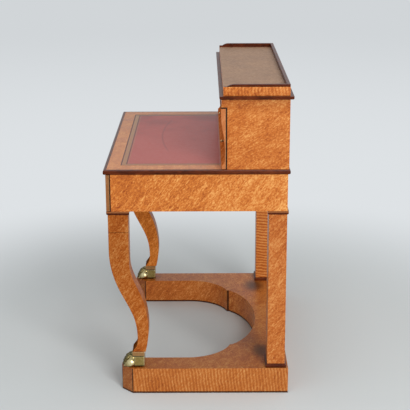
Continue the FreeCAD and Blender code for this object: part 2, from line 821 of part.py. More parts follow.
# Desk top: a board with a sunk bed for the leather, inside a rounded dark edge
def desk_top():
    y = (desk_front, desk_back)
    z = (frieze_top, desk_level)
    mitred_frame(
        "desk_edge_moulding", desk_side, y, z, size.edge_width, "Fillet", "Radius", size.edge_round,
        (zero, size.top_thickness))
    board_x = (-(desk_side - size.edge_width), desk_side - size.edge_width)
    blank = board("desk_board_blank", board_x, (y[0] + size.edge_width, y[1] - size.edge_width), z)
    bed_x = (-(desk_side - size.leather_side_border), desk_side - size.leather_side_border)
    bed_y = (desk_front + size.leather_front_border, gradin_front - size.leather_back_border)
    bed = board("leather_bed", bed_x, bed_y, (desk_level - size.leather_thickness, desk_level + size.overrun))
    keep(cut("desk_top_board", blank, bed))
    gap = size.leather_gap
    keep(board(
        "writing_leather", (bed_x[0] + gap, bed_x[1] - gap), (bed_y[0] + gap, bed_y[1] - gap),
        (desk_level - size.leather_thickness, desk_level)))


desk_top()

# Gradin carcass: the sides step back below the front rail, where the drawer fronts lap over them
rail_base = gradin_top - size.gradin_rail_height
roof_base = gradin_top - size.gradin_roof
base_top = desk_level + size.gradin_base
rail_back = gradin_front + size.gradin_rail_depth
back_inside = gradin_back - size.gradin_back_wall
between_gradin = (-gradin_inside, gradin_inside)
side_corners = [
    (gradin_carcass_front, desk_level), (gradin_back, desk_level), (gradin_back, gradin_top),
    (gradin_front, gradin_top), (gradin_front, rail_base), (gradin_carcass_front, rail_base),
]
divider_corners = [
    (gradin_carcass_front, base_top), (back_inside, base_top), (back_inside, roof_base),
    (rail_back, roof_base), (rail_back, rail_base), (gradin_carcass_front, rail_base),
]
gradin_side = padded("gradin_side", "YZ_Plane", side_corners, size.gradin_wall)
keep_pair("gradin_side", place(gradin_side, gradin_inside))
keep(board("gradin_back", between_gradin, (back_inside, gradin_back), (desk_level, gradin_top)))
keep(board("gradin_base", between_gradin, (gradin_carcass_front, back_inside), (desk_level, base_top)))
keep(board("gradin_front_rail", between_gradin, (gradin_front, rail_back), (rail_base, gradin_top)))
keep(board("gradin_roof", between_gradin, (rail_back, back_inside), (roof_base, gradin_top)))
divider_side = size.divider / 2
gradin_divider = padded("gradin_divider", "YZ_Plane", divider_corners, size.divider)
keep(place(gradin_divider, -divider_side))


# Gradin drawers: each front is hollowed in an ogee, rounded at the top and scooped at the toe
gradin_tails = 5
ogee_turn_share, ogee_scoop_share, ogee_toe_share = 0.635, 0.175, 0.053
front_z = (desk_level + size.lip_gap, rail_base - size.lip_gap)
front_rise = front_z[1] - front_z[0]
lip_back = gradin_carcass_front - size.running_gap
top_lip = gradin_front - size.ogee_top_lead
toe_lip = gradin_front + size.ogee_toe_lead
ogee_deep = top_lip + size.ogee_hollow + size.ogee_toe_lead
ogee_turn = top_lip + size.ogee_hollow / 2
ogee_corners = [
    (toe_lip, front_z[0]),
    (lip_back, front_z[0]),
    (lip_back, front_z[1]),
    (top_lip, front_z[1], size.ogee_upper_radius),
    (ogee_turn, front_z[0] + front_rise * ogee_turn_share, -size.ogee_lower_radius),
    (ogee_deep, front_z[0] + front_rise * ogee_scoop_share, -size.ogee_toe_radius),
    (toe_lip, front_z[0] + front_rise * ogee_toe_share),
]
knob_z = front_z[0] + size.knob_height
knob_seat = ogee_deep + size.knob_inlay


def knob(name, x, y, z):
    """A small turned knob: shank, rose, neck and domed head, pointing to the front."""
    body = document.addObject("PartDesign::Body", name)
    rose = -size.knob_rose
    neck = rose - size.knob_neck
    rim_back = neck - size.knob_shoulder
    rim_front = rim_back - size.knob_rim
    dome_radius = size.knob_radius * size.knob_radius / (size.knob_dome * 2) + size.knob_dome / 2
    corners = [
        (zero, size.knob_shank),
        (zero, rim_front - size.knob_dome, dome_radius),
        (size.knob_radius, rim_front),
        (size.knob_radius, rim_back),
        (size.knob_neck_radius, neck),
        (size.knob_neck_radius, rose),
        (size.knob_rose_radius, rose),
        (size.knob_rose_radius, zero),
        (size.knob_shank_radius, zero),
        (size.knob_shank_radius, size.knob_shank),
    ]
    turned = body.newObject("PartDesign::Revolution", f"{body.Name}_turned")
    turned.Profile = outline(body, "XY_Plane", corners)
    turned.ReferenceAxis = (turned.Profile[0], ["V_Axis"])
    turned.Angle = 360
    document.recompute()
    return place(body, x, y, z)


def gradin_drawer(name, opening_x, front_x):
    gap = size.drawer_side_gap
    drawer_x = (opening_x[0] + gap, opening_x[1] - gap)
    drawer_y = (lip_back, back_inside - size.small_back_gap)
    drawer_z = (base_top + size.running_gap, rail_base - size.drawer_top_gap)
    core = drawer_box(
        name, drawer_x, drawer_y, drawer_z, size.small_core, size.small_wall, size.small_back_wall,
        size.small_panel, size.small_panel_lift, size.small_groove, gradin_tails)
    lip = place(padded(f"{name}_lip", "YZ_Plane", ogee_corners, front_x[1] - front_x[0]), front_x[0])
    slab = fuse(f"{name}_slab", lip, core)
    knob_x = (front_x[0] + front_x[1]) / 2
    inward = FreeCAD.Vector(0, 1, 0)
    hole = rod(
        f"{name}_knob_hole", size.knob_shank_radius + size.joint_clearance,
        size.knob_shank + size.joint_clearance, (knob_x, knob_seat, knob_z), inward)
    spot = rod(
        f"{name}_knob_spot", size.knob_rose_radius + size.joint_clearance, size.overrun,
        (knob_x, knob_seat - size.overrun, knob_z), inward)
    keep(cut(f"{name}_front", slab, hole, spot))
    keep(knob(f"{name}_knob", knob_x, knob_seat, knob_z))


half_gap = size.lip_gap / 2
gradin_drawer("left_drawer", (-gradin_inside, -divider_side), (-carcass_side, -half_gap))
gradin_drawer("right_drawer", (divider_side, gradin_inside), (half_gap, carcass_side))

# Cornice: a dark mitred moulding on the gradin, undercut at its lower edge
cornice_side = carcass_side + size.cornice_side_overhang
cornice_y = (gradin_front - size.cornice_front_overhang, gradin_back + size.cornice_back_overhang)
mitred_frame(
    "cornice_moulding", cornice_side, cornice_y, (gradin_top, cornice_top), size.cornice_frame,
    "Chamfer", "Size", size.cornice_chamfer, (zero,))

# Cap: a thick maple board with a tray sunk in its top, open to the front
cap_side = carcass_side - size.cap_side_inset
cap_front = gradin_front + size.cap_front_inset
cap_blank = board("cap_blank", (-cap_side, cap_side), (cap_front, gradin_back), (cornice_top, cap_top))
tray_side = cap_side - size.gallery_width
tray_back = gradin_back - size.gallery_width
tray = board(
    "cap_tray", (-tray_side, tray_side), (cap_front - size.overrun, tray_back),
    (cap_top - size.tray_depth, cap_top + size.overrun))
keep(cut("cornice_cap", cap_blank, tray))

# Gallery: dark lips along both ends and the back, the end ones set back and swept down at the front
lip_front = cap_front + size.gallery_setback
lip_rise = size.gallery_height - size.gallery_nose
sweep_radius = size.gallery_sweep * size.gallery_sweep / (lip_rise * 2) + lip_rise / 2
lip_corners = [
    (lip_front, cap_top),
    (gradin_back, cap_top),
    (gradin_back, gallery_top),
    (lip_front + size.gallery_sweep, gallery_top, sweep_radius),
    (lip_front, cap_top + size.gallery_nose),
]
keep_pair("gallery_end", place(padded("gallery_end", "YZ_Plane", lip_corners, size.gallery_width), tray_side))
keep(board("gallery_back", (-tray_side, tray_side), (tray_back, gradin_back), (cap_top, gallery_top)))

# Every object is sound before anything is written
document.recompute()
for thing in document.Objects:
    if "Invalid" in thing.State or "Error" in thing.State:
        raise RuntimeError(f"{thing.Label} failed: {thing.State}")
for piece in subparts:
    if piece.Shape.isNull() or not piece.Shape.isValid() or not piece.Shape.Solids:
        raise RuntimeError(f"{piece.Label} has no sound solid")

os.makedirs("parts", exist_ok=True)
for piece in subparts:
    piece.Shape.exportStep(f"parts/{piece.Label}.step")
print(len(subparts), "sub-parts written")
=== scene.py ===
import json
import math
import bpy
from mathutils import Matrix, Vector


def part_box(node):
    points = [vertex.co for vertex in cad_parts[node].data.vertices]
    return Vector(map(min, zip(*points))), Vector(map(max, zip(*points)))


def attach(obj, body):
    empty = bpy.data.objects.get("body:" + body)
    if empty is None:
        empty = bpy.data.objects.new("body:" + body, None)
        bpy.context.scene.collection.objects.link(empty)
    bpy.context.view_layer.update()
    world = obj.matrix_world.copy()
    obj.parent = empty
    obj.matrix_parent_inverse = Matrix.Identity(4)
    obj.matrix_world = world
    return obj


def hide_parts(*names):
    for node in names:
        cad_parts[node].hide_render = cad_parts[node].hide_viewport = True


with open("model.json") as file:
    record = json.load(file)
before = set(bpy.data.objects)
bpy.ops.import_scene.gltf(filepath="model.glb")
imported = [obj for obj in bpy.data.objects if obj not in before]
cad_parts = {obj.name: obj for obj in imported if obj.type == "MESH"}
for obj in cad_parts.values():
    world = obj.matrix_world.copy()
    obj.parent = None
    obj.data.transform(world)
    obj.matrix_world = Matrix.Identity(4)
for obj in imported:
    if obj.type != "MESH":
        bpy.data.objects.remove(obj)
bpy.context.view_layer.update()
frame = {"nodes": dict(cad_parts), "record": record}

# Plinth: two arms that sweep in to a cusp, and a bowed back rail tenoned between them.
# Pine cores carry fiddleback maple with its stripes upright, and dark stringing stands at the canted corners.
# Painted shade darkens the canted faces, the end faces at the cusps, the right end of the top and a band
# round the foot where the gap under the plinth falls, and the rear legs cast painted shadows on the top.
# Every arris is rubbed down by years of polishing.
body_of = {node: body for body, nodes in frame["record"]["behaviour"]["bodies"].items() for node in nodes}
weld = 0.00001
flat_angle = math.radians(0.8)
arris_angle = math.radians(35)
arris_steps = 2
plinth_arris = 0.0011


def pick(piece):
    """Makes one piece the only one selected."""
    bpy.ops.object.select_all(action="DESELECT")
    piece.select_set(True)
    bpy.context.view_layer.objects.active = piece
    return piece


def applied(piece, kind, **settings):
    """Adds one modifier and applies it."""
    pick(piece)
    change = piece.modifiers.new(kind.lower(), kind)
    for name, setting in settings.items():
        setattr(change, name, setting)
    bpy.ops.object.modifier_apply(modifier=change.name)
    return piece


def eased(node, arris):
    """A copy of a joiner's piece, welded, with its sharp edges rounded a little and its flats kept flat."""
    piece = bpy.data.objects.new(f"finished_{node}", frame["nodes"][node].data.copy())
    bpy.context.scene.collection.objects.link(piece)
    pick(piece)
    bpy.ops.mesh.customdata_custom_splitnormals_clear()
    bpy.ops.object.mode_set(mode="EDIT")
    bpy.ops.mesh.select_all(action="SELECT")
    bpy.ops.mesh.remove_doubles(threshold=weld)
    bpy.ops.mesh.dissolve_limited(angle_limit=flat_angle)
    bpy.ops.object.mode_set(mode="OBJECT")
    bpy.ops.object.shade_smooth()
    return applied(piece, "BEVEL", width=arris, segments=arris_steps, limit_method="ANGLE",
                   angle_limit=arris_angle, use_clamp_overlap=False, harden_normals=True)


def dress(piece, node, slot, *finishes):
    """Gives a piece its finish and lets it stand for a joiner's piece."""
    piece.data.materials.clear()
    for finish in finishes:
        piece.data.materials.append(finish)
    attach(piece, body_of[node])
    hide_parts(node)
    return piece


def screen(red, green, blue):
    """A colour as it looks on screen, 0 to 255, turned into light."""
    shares = [level / 255 for level in (red, green, blue)]
    light = [share / 12.92 if share < 0.04045 else ((share + 0.055) / 1.055) ** 2.4 for share in shares]
    return (*light, 1.0)


class Socket:
    """An output of a shader node. Sums on it add Math nodes, and add() makes any other node."""

    def __init__(self, tree, output):
        self.tree = tree
        self.output = output

    def add(self, kind, settings=None, values=None, output=0):
        """A new node: its settings first, then the values or links of its inputs."""
        node = self.tree.nodes.new(kind)
        for name, setting in (settings or {}).items():
            if name == "stops":
                for _ in setting[2:]:
                    node.color_ramp.elements.new(0.5)
                for element, (place, colour) in zip(node.color_ramp.elements, setting):
                    element.position = place
                    element.color = colour
            else:
                setattr(node, name, setting)
        for name, value in (values or {}).items():
            if isinstance(value, Socket):
                self.tree.links.new(value.output, node.inputs[name])
            else:
                node.inputs[name].default_value = value
        return Socket(self.tree, node.outputs[output]) if node.outputs else None

    def other(self, name):
        """Another output of the same node."""
        return Socket(self.tree, self.output.node.outputs[name])

    def maths(self, operation, first, second=0.0):
        """One Math node."""
        return self.add("ShaderNodeMath", {"operation": operation}, {0: first, 1: second})

    def __add__(self, value):
        return self.maths("ADD", self, value)

    def __radd__(self, value):
        return self.maths("ADD", value, self)

    def __sub__(self, value):
        return self.maths("SUBTRACT", self, value)

    def __rsub__(self, value):
        return self.maths("SUBTRACT", value, self)

    def __mul__(self, value):
        return self.maths("MULTIPLY", self, value)

    def __rmul__(self, value):
        return self.maths("MULTIPLY", value, self)

    def __lt__(self, value):
        return self.maths("LESS_THAN", self, value)

    def __gt__(self, value):
        return self.maths("GREATER_THAN", self, value)

    def __abs__(self):
        return self.maths("ABSOLUTE", self)

    def __or__(self, value):
        return self.maths("MAXIMUM", self, value)

    def __and__(self, value):
        return self.maths("MINIMUM", self, value)

    def rise(self, low, high):
        """A smooth climb from 0 at low to 1 at high."""
        ends = {"Value": self, "From Min": low, "From Max": high}
        return self.add("ShaderNodeMapRange", {"interpolation_type": "SMOOTHSTEP"}, ends)

    def ramp(self, *stops):
        """A colour that runs through these stops."""
        return self.add("ShaderNodeValToRGB", {"stops": stops}, {0: self})

    def mix(self, first, second):
        """Two colours mixed by this value: 0 gives the first."""
        return self.add("ShaderNodeMix", {"data_type": "RGBA"}, {0: self, 6: first, 7: second}, 2)

    def grained(self, lengths, turn=(0.0, 0.0, 0.0), detail=2.0, roughness=0.5, distortion=0.0):
        """A noise whose grains have these lengths along three axes, turned together."""
        laid = {"Vector": self, "Rotation": turn, "Scale": lengths}
        along = self.add("ShaderNodeMapping", {"vector_type": "TEXTURE"}, laid)
        return along.noise(1.0, detail, roughness, distortion)

    def noise(self, scale, detail=2.0, roughness=0.5, distortion=0.0):
        """A noise with this many grains to the metre, or on a laid-out grain to its length."""
        grain = {"Vector": self, "Scale": scale, "Detail": detail, "Roughness": roughness}
        return self.add("ShaderNodeTexNoise", {}, {**grain, "Distortion": distortion})

    def axes(self):
        """Its x, y and z."""
        split = self.add("ShaderNodeSeparateXYZ", {}, {"Vector": self})
        return split, split.other("Y"), split.other("Z")


def new_finish(name):
    """A new material and the object coordinates that its pattern is built on."""
    material = bpy.data.materials.new(name)
    material.use_nodes = True
    tree = material.node_tree
    tree.nodes.clear()
    return material, Socket(tree, tree.nodes.new("ShaderNodeTexCoord").outputs["Object"])


def close_finish(material, where, height, depth, values):
    """Ends a material in one principled shader whose surface follows a height."""
    relief = where.add("ShaderNodeBump", {}, {"Height": height, "Distance": depth, "Strength": 1.0})
    shader = where.add("ShaderNodeBsdfPrincipled", {}, {**values, "Normal": relief})
    where.add("ShaderNodeOutputMaterial", {}, {"Surface": shader})
    return material


maple_shadow = screen(158, 74, 22)
maple_body = screen(211, 123, 50)
maple_light = screen(246, 180, 106)
maple_eye = screen(128, 58, 18)
maple_dullness = 0.34
maple_relief = 0.00006
stain_and_shade_colour = screen(44, 18, 5)
fleck_turn = (0.8, 0.0, -0.6)
flame_turn = (0.95, 0.0, -0.3)
fleck_size = (0.0044, 0.0094, 0.0036)
flame_size = (0.030, 0.060, 0.014)
streak_size = (0.012, 0.042, 0.0042)
pore_size = (0.0016, 0.0016, 0.025)
eyes_per_metre = 78.0
stripe_step = 0.0102


def maple(name, tone=(1.0, 1.0, 1.0), stripes=0.0, across=(1.0, 1.0, 0.12), lines=None, depth=1.0,
          polish=0.22, painted_light_drift=0.0, lean=1.0):
    """French-polished maple with slanting flecks, bird's eyes and, where asked, fiddleback stripes.

    Lines give the share of dark colour at each place, whether real stain or painted shade. A drift paints the
    veneer lighter towards the back of the desk as painted light, and a smaller lean lays the figure flatter.
    """
    material, where = new_finish(name)
    x, y, z = where.axes()
    slant = (fleck_turn[0] * lean, *fleck_turn[1:])
    steep = (flame_turn[0] * lean, *flame_turn[1:])
    fleck = where.grained(fleck_size, slant, 2.0, 0.55, 0.4)
    flame = where.grained(flame_size, steep, 2.0, 0.5, 0.6)
    streak = where.grained(streak_size, steep, 1.0)
    cloud = where.noise(8.0)
    pores = where.grained(pore_size)
    cells = where.add("ShaderNodeTexVoronoi", {"feature": "F1"}, {"Vector": where, "Scale": eyes_per_metre})
    chosen = cells.other("Color").add("ShaderNodeSeparateColor", {}, {0: cells.other("Color")}) > 0.5
    eye = (1 - cells.rise(0.04, 0.15)) * chosen
    figure = 0.48 + (fleck - 0.5) * 1.25 * depth + (flame - 0.5) * 0.7 * depth + (cloud - 0.5) * 0.4
    figure = figure + (pores - 0.5) * 0.2 + streak.rise(0.55, 0.75) * 0.22 * depth + y * painted_light_drift
    if stripes:
        sway = where.noise(30.0)
        count = (x * across[0] + y * across[1] + z * across[2]) * (math.tau / stripe_step)
        strength = 0.35 + where.noise(38.0) * 1.3
        figure = figure + where.maths("SINE", count + (sway - 0.5) * 6.0) * strength * stripes
    tones = [(*[level * share for level, share in zip(colour, tone)], 1.0)
             for colour in (maple_shadow, maple_body, maple_light)]
    colour = figure.ramp((0.1, tones[0]), (0.5, tones[1]), (0.92, tones[2]))
    colour = (eye * 0.4 * depth).mix(colour, maple_eye)
    if lines:
        colour = lines(x, y, z).mix(colour, stain_and_shade_colour)
    sheen = maple_dullness + (cloud - 0.5) * 0.12 + (pores - 0.5) * 0.08
    values = {"Base Color": colour, "Roughness": sheen, "Specular IOR Level": polish}
    return close_finish(material, where, pores - eye * 0.4, maple_relief, values)


def face_by(piece, chosen, index):
    """Gives the faces that a test picks another of the piece's finishes."""
    for face in piece.data.polygons:
        if chosen(face):
            face.material_index = index


arm_low, arm_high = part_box("right_plinth_arm")
arm_cant = 0.036
arm_width = 0.088
cant_line = arm_low.y + arm_cant
cant_inner = arm_high.x - arm_cant
arm_middle = (cant_inner + arm_high.x - arm_width + arm_cant) / 2
# Painted shade darkens the canted faces, the end faces at the cusps and a band round the foot, where the gap
# under the plinth falls.
cant_painted_shade = 0.38
foot_shade_height = 0.0062
string_width = 0.0040
stain_and_shade_share = 0.9
cusp_shade_edge = 0.0005
# Painted shadow of each rear leg falls on the plinth top, and painted shade darkens its right end.
leg_shadow_place = (0.31, 0.21)
leg_shadow_squash = 0.6
leg_shadow_fade = (0.010, 0.058)
leg_shadow_strength = 0.8
right_end_shade_span = (-0.40, 0.46)
right_end_shade_strength = 0.32
plinth_tone = (0.82, 0.74, 0.7)
facing = 0.7
square_on = 0.9


def plinth_stringing_and_shade(x, y, z):
    """The stringing at the canted corners, and painted shade on the canted faces, on the end faces at the
    cusp and in a band round the foot.
    """
    corner = abs(y - cant_line) < string_width / 2
    beside = abs(abs(abs(x) - arm_middle) - (cant_inner - arm_middle)) < string_width / 2
    nose = beside & (y < arm_low.y + string_width)
    cusp = abs(x) < arm_low.x + cusp_shade_edge
    return ((z < foot_shade_height) | corner | nose | cusp | (y < cant_line) * cant_painted_shade) * stain_and_shade_share


def foot_shade_line(x, y, z):
    """The band of painted shade round the foot alone."""
    return (z < foot_shade_height) * stain_and_shade_share


def plinth_painted_shade(x, y, z):
    """Painted shadow of each rear leg on the plinth top, and painted shade that darkens the right end more
    than the left.
    """
    across = (abs(x) - leg_shadow_place[0]) * leg_shadow_squash
    along = y - leg_shadow_place[1]
    leg_shadow = (1 - x.maths("SQRT", across * across + along * along).rise(*leg_shadow_fade)) * leg_shadow_strength
    return leg_shadow | (x.rise(*right_end_shade_span) * right_end_shade_strength)


plinth_maple = maple("plinth_maple", plinth_tone, lines=plinth_stringing_and_shade, depth=0.8)
plinth_top = maple(
    "plinth_top_maple", (0.78, 0.74, 0.62), stripes=0.05, lines=plinth_painted_shade, depth=0.9, polish=0.2)
plinth_striped = maple("plinth_striped_maple", (0.7, 0.68, 0.7), stripes=0.13, lines=plinth_stringing_and_shade, depth=0.5)
for hand, outward in (("right", 1), ("left", -1)):
    arm = eased(f"{hand}_plinth_arm", plinth_arris)
    dress(arm, f"{hand}_plinth_arm", "maple", plinth_maple, plinth_top, plinth_striped)
    face_by(arm, lambda face: face.normal.z > facing, 1)
    face_by(arm, lambda face: face.normal.x * outward > square_on, 2)
rail_maple = maple("plinth_rail_maple", plinth_tone, lines=foot_shade_line)
rail = dress(eased("plinth_back_rail", plinth_arris), "plinth_back_rail", "maple", rail_maple, plinth_top)
face_by(rail, lambda face: face.normal.z > facing, 1)

# Lion paws: two brass castings that shoe the front legs and are pegged into the plinth.
# Each has a banded collar, a plain heel and four knuckled toes with claws, chased and burnished by hand.
paw_low, paw_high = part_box("right_paw_foot")
paw_middle = (paw_low.x + paw_high.x) / 2
paw_floor = arm_high.z
paw_top = paw_high.z
paw_back = paw_high.y
paw_skin = 0.0006
paw_grain = 0.0007
collar_height = 0.016
collar_half = 0.031
collar_base = paw_top - collar_height
groove_half = 0.0014
neck_inset = 0.003
neck_lap = 0.002
heel_half = 0.029
heel_lift = 0.0046
sole_inset = 0.008
sole_height = 0.010
sole_sink = 0.001
toe_play = 0.0004
toe_front = paw_low.y + toe_play
sole_front = toe_front + 0.022
collar_front = toe_front + 0.034
heel_front = toe_front + 0.040
claw_tilt = 0.5
mass_sides = 48
mass_rings = 32
paw_smoothing = 7
# Painted shade in the collar groove and round the sole, and a painted dark reflection over the front toes.
paw_shade_strength = 0.92
groove_fade = (0.0012, 0.0026)
heel_start = (0.036, 0.042)
heel_shade_rise = 0.0035
sole_fade = (0.0018, 0.0060)
toe_fade = (0.012, 0.036)
toe_shade_strength = 0.9
outer_toe = (0.012, 0.018)
outer_toe_spared = 0.7
# A painted highlight lies on the crowns of the outer toes.
crown_behind, crown_up = 0.0275, 0.0170
crown_fade = (0.005, 0.0155)
crown_side = (0.017, 0.026)
crown_highlight_strength = 0.9
brass_relief = 0.00003
brass_gloss = 0.29
scuff_size = (0.0011, 0.0062, 0.0011)
brass_bright = screen(246, 232, 180)
brass_body = screen(167, 143, 84)
brass_warm = screen(184, 136, 88)
brass_dull = screen(36, 34, 12)


def brass(name, spread=0.03, shade_mask=None, highlight_mask=None, body=brass_body):
    """Burnished brass, bright on the swells and dull in the hollows; parts may carry painted shade or a
    painted highlight.
    """
    material, where = new_finish(name)
    swell = where.add("ShaderNodeNewGeometry", {}, {}, "Pointiness")
    tarnish = where.noise(95.0, 4.0, 0.6)
    scuffs = where.grained(scuff_size)
    lift = swell + (tarnish - 0.5) * 0.02
    colour = lift.ramp((0.5 - spread, brass_dull), (0.5, body), (0.5 + spread, brass_bright))
    if highlight_mask:
        colour = highlight_mask(*where.axes()).mix(colour, brass_bright)
    if shade_mask:
        colour = shade_mask(*where.axes()).mix(colour, brass_dull)
    gloss = brass_gloss + (tarnish - 0.5) * 0.16 + (scuffs - 0.5) * 0.1
    values = {"Base Color": colour, "Metallic": 1.0, "Roughness": gloss}
    return close_finish(material, where, scuffs, brass_relief, values)


def swelling(centre, radii, tilt):
    """One rounded mass of a casting's wax model; a tilt lifts its back end."""
    bpy.ops.object.select_all(action="DESELECT")
    bpy.ops.mesh.primitive_uv_sphere_add(segments=mass_sides, ring_count=mass_rings, radius=1.0)
    mass = bpy.context.object
    mass.scale = radii
    mass.rotation_euler = (tilt, 0.0, 0.0)
    mass.location = centre
    return mass


def block(low, high):
    """A plain block between two corners."""
    bpy.ops.object.select_all(action="DESELECT")
    bpy.ops.mesh.primitive_cube_add(size=1.0)
    mass = bpy.context.object
    mass.scale = Vector(high) - Vector(low)
    mass.location = (Vector(high) + Vector(low)) / 2
    return mass


def settle(piece):
    """Puts a piece's turn, scale and place into its mesh."""
    pick(piece)
    bpy.ops.object.transform_apply(location=True, rotation=True, scale=True)
    return piece


def joined(name, masses):
    """Several masses joined in one mesh at the origin."""
    for mass in masses:
        settle(mass)
    bpy.ops.object.select_all(action="DESELECT")
    for mass in masses:
        mass.select_set(True)
    bpy.context.view_layer.objects.active = masses[0]
    bpy.ops.object.join()
    masses[0].name = name
    return masses[0]


# Each rounded mass has its place across, behind the toes' front and above the plinth, its radii and its tilt
instep_masses = {
    "instep": (0.0, 0.040, 0.0195, (0.0270, 0.0230, 0.0185), 0.0),
    "ridge under the collar": (0.0, 0.0375, 0.0310, (0.0240, 0.0110, 0.0080), 0.5),
}
toe_masses = {
    "outer ball": (0.0226, 0.0282, 0.0138, (0.0104, 0.0150, 0.0140), 0.0),
    "outer tip": (0.0222, 0.0210, 0.0102, (0.0090, 0.0108, 0.0104), 0.0),
    "outer joint": (0.0214, 0.0326, 0.0276, (0.0084, 0.0132, 0.0090), 0.8),
    "outer claw": (0.0226, 0.0122, 0.0060, (0.0032, 0.0062, 0.0048), claw_tilt),
    "outer claw's point": (0.0228, 0.0084, 0.0036, (0.0019, 0.0050, 0.0030), claw_tilt),
    "inner pad": (0.0078, 0.0120, 0.0092, (0.0077, 0.0112, 0.0094), 0.0),
    "inner joint": (0.0078, 0.0142, 0.0180, (0.0072, 0.0110, 0.0088), 0.9),
    "inner knuckle": (0.0078, 0.0190, 0.0258, (0.0080, 0.0100, 0.0090), 0.6),
    "inner root": (0.0076, 0.0268, 0.0322, (0.0070, 0.0136, 0.0080), 0.5),
    "inner claw": (0.0079, 0.0062, 0.0060, (0.0030, 0.0058, 0.0048), claw_tilt),
    "inner claw's point": (0.0080, 0.0034, 0.0036, (0.0018, 0.0034, 0.0030), claw_tilt),
}


def cast_paw():
    """The right paw, modelled in masses and melted into one skin."""

    def slab(half, front, back, low, high):
        return block((paw_middle - half, front, low), (paw_middle + half, back, high))

    def lump(across, behind, up, radii, tilt, side=1):
        return swelling((paw_middle + side * across, toe_front + behind, paw_floor + up), radii, tilt)

    masses = [
        slab(collar_half, collar_front, paw_back, collar_base + groove_half, paw_top - paw_skin),
        slab(collar_half - neck_inset, collar_front + neck_lap, paw_back - neck_inset,
             collar_base - neck_inset, collar_base + neck_lap),
        slab(heel_half, heel_front, paw_back - paw_skin, paw_floor + heel_lift, collar_base - groove_half),
        slab(heel_half - sole_inset, sole_front, paw_back - sole_inset,
             paw_floor - sole_sink, paw_floor + sole_height),
    ]
    masses += [lump(*mass) for mass in instep_masses.values()]
    masses += [lump(*mass, side) for side in (-1, 1) for mass in toe_masses.values()]
    paw = joined("lion_paw_right", masses)
    applied(paw, "REMESH", mode="VOXEL", voxel_size=paw_grain)
    applied(paw, "SMOOTH", factor=0.5, iterations=paw_smoothing)
    pick(paw)
    bpy.ops.object.mode_set(mode="EDIT")
    bpy.ops.mesh.select_all(action="SELECT")
    bpy.ops.mesh.bisect(plane_co=(0, 0, paw_floor), plane_no=(0, 0, -1), use_fill=True, clear_outer=True)
    bpy.ops.object.mode_set(mode="OBJECT")
    bpy.ops.object.shade_smooth()
    return paw


def mirrored(piece, name):
    """The left-hand twin of a right-hand piece, with its own mesh."""
    twin = bpy.data.objects.new(name, piece.data.copy())
    bpy.context.scene.collection.objects.link(twin)
    twin.scale.x = -1.0
    settle(twin)
    bpy.ops.object.mode_set(mode="EDIT")
    bpy.ops.mesh.select_all(action="SELECT")
    bpy.ops.mesh.normals_make_consistent(inside=False)
    bpy.ops.object.mode_set(mode="OBJECT")
    return twin


def paw_painted_shade(x, y, z):
    """Painted shade in the groove under the collar and round the sole, and a painted dark reflection over the
    front toes.
    """
    behind = y - paw_low.y
    groove = 1 - abs(z - collar_base).rise(*groove_fade)
    heel = behind.rise(*heel_start)
    sole = 1 - (z - paw_floor - heel * heel_shade_rise).rise(*sole_fade)
    outer = abs(abs(x) - paw_middle).rise(*outer_toe)
    toes = (1 - behind.rise(*toe_fade)) * (toe_shade_strength - outer * outer_toe_spared)
    return (groove | sole | toes) * paw_shade_strength


def paw_painted_highlight(x, y, z):
    """A painted highlight on the crowns of the outer toes."""
    behind = y - paw_low.y - crown_behind
    up = z - paw_floor - crown_up
    outer = abs(abs(x) - paw_middle).rise(*crown_side)
    return (1 - x.maths("SQRT", behind * behind + up * up).rise(*crown_fade)) * outer * crown_highlight_strength


paw_brass = brass("paw_brass", shade_mask=paw_painted_shade, highlight_mask=paw_painted_highlight)
collar_brass = brass("collar_brass", spread=0.16, shade_mask=paw_painted_shade, body=brass_warm)
right_paw = cast_paw()
left_paw = mirrored(right_paw, "lion_paw_left")
for paw, node in ((right_paw, "right_paw_foot"), (left_paw, "left_paw_foot")):
    dress(paw, node, "brass", paw_brass, collar_brass)
    face_by(paw, lambda face: face.center.z > collar_base and face.center.y > collar_front, 1)

# Front legs: S-shaped boards of beech, sawn to the curve and veneered with bird's-eye maple on all sides.
# A seam where two leaves of veneer meet crosses each leg near the top, and the ankle stands in the paw.
leg_arris = 0.0012
seam_height = 0.543
seam_width = 0.0024
seam_stain = 0.55
upper_leg = (0.2, 0.5)
upper_darkening = 0.12
flare_height = 0.034
flare_reach = 0.0056
flare_middle = paw_back - 0.020
flare_play = 0.01
ankle_height = 0.045
ankle_shade_fade = (0.004, ankle_height)
ankle_painted_shade = 0.7
forward = -0.5
leg_tone = (0.6, 0.52, 0.48)


def leg_lines(x, y, z):
    """The seam, and a darkening towards the top of the leg."""
    seam = abs(z - seam_height) < seam_width / 2
    return (seam * seam_stain) | (z.rise(*upper_leg) * upper_darkening)


def ankle_shade_lines(x, y, z):
    """Painted shade on the front of the ankle, above the paw."""
    return leg_lines(x, y, z) | ((1 - (z - paw_top).rise(*ankle_shade_fade)) * ankle_painted_shade)


leg_maple = maple("leg_maple", leg_tone, lines=leg_lines, polish=0.05)
# The fronts of the ankles carry painted shade, without polish.
leg_ankle = maple("leg_ankle_maple", leg_tone, lines=ankle_shade_lines, polish=0.0)
# The inner faces of the front legs are toned paler than the outer ones: painted light.
leg_inner_lit = maple("leg_inner_lit_maple", (1.14, 1.1, 1.02), lines=leg_lines, depth=0.75, polish=0.05)
for hand, inward in (("right", -1), ("left", 1)):
    leg = eased(f"{hand}_front_leg", leg_arris)
    dress(leg, f"{hand}_front_leg", "maple", leg_maple, leg_inner_lit, leg_ankle)
    face_by(leg, lambda face: face.normal.x * inward > facing, 1)
    face_by(leg, lambda face: face.normal.y < forward and face.center.z < paw_top + ankle_height, 2)
    for vertex in leg.data.vertices:
        up = (vertex.co.z - paw_top) / flare_height
        if -flare_play < up < 1 and vertex.co.y < flare_middle:
            vertex.co.y -= flare_reach * (1 - up) ** 2

